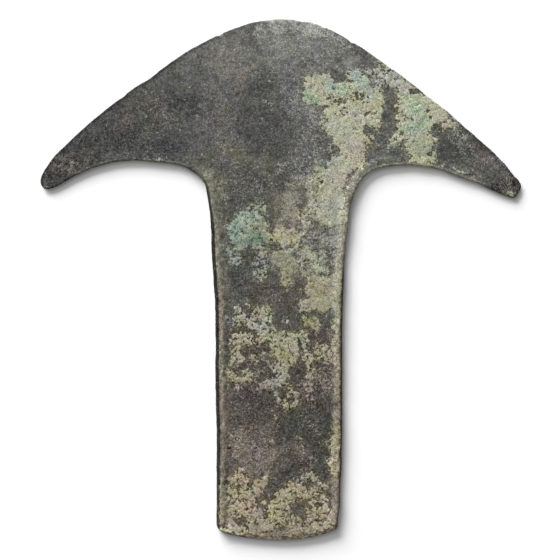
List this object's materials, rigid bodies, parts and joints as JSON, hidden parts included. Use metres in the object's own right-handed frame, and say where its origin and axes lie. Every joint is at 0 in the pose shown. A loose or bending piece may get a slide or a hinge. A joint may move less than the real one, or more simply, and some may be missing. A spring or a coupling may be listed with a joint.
{
  "type": "copper axe money",
  "caption": "Thin T-shaped copper axe money: a crescent blade on a straight flat shaft with low raised rims along its sides, under a crusty green and brown patina.",
  "frame": {"origin": "bottom centre of the box around the object as it lies on its back, at the height of the underside of the back rims", "axes": "+Y up the shaft to the crown of the crescent cutting edge, +X towards the right wing seen from the front, +Z out of the front face"},
  "size_m": [0.1386, 0.15, 0.0022],
  "materials": {
    "patinated_copper": "matte"
  },
  "bodies": {
    "root": {"axe_money": "patinated_copper"}
  },
  "joints": []
}
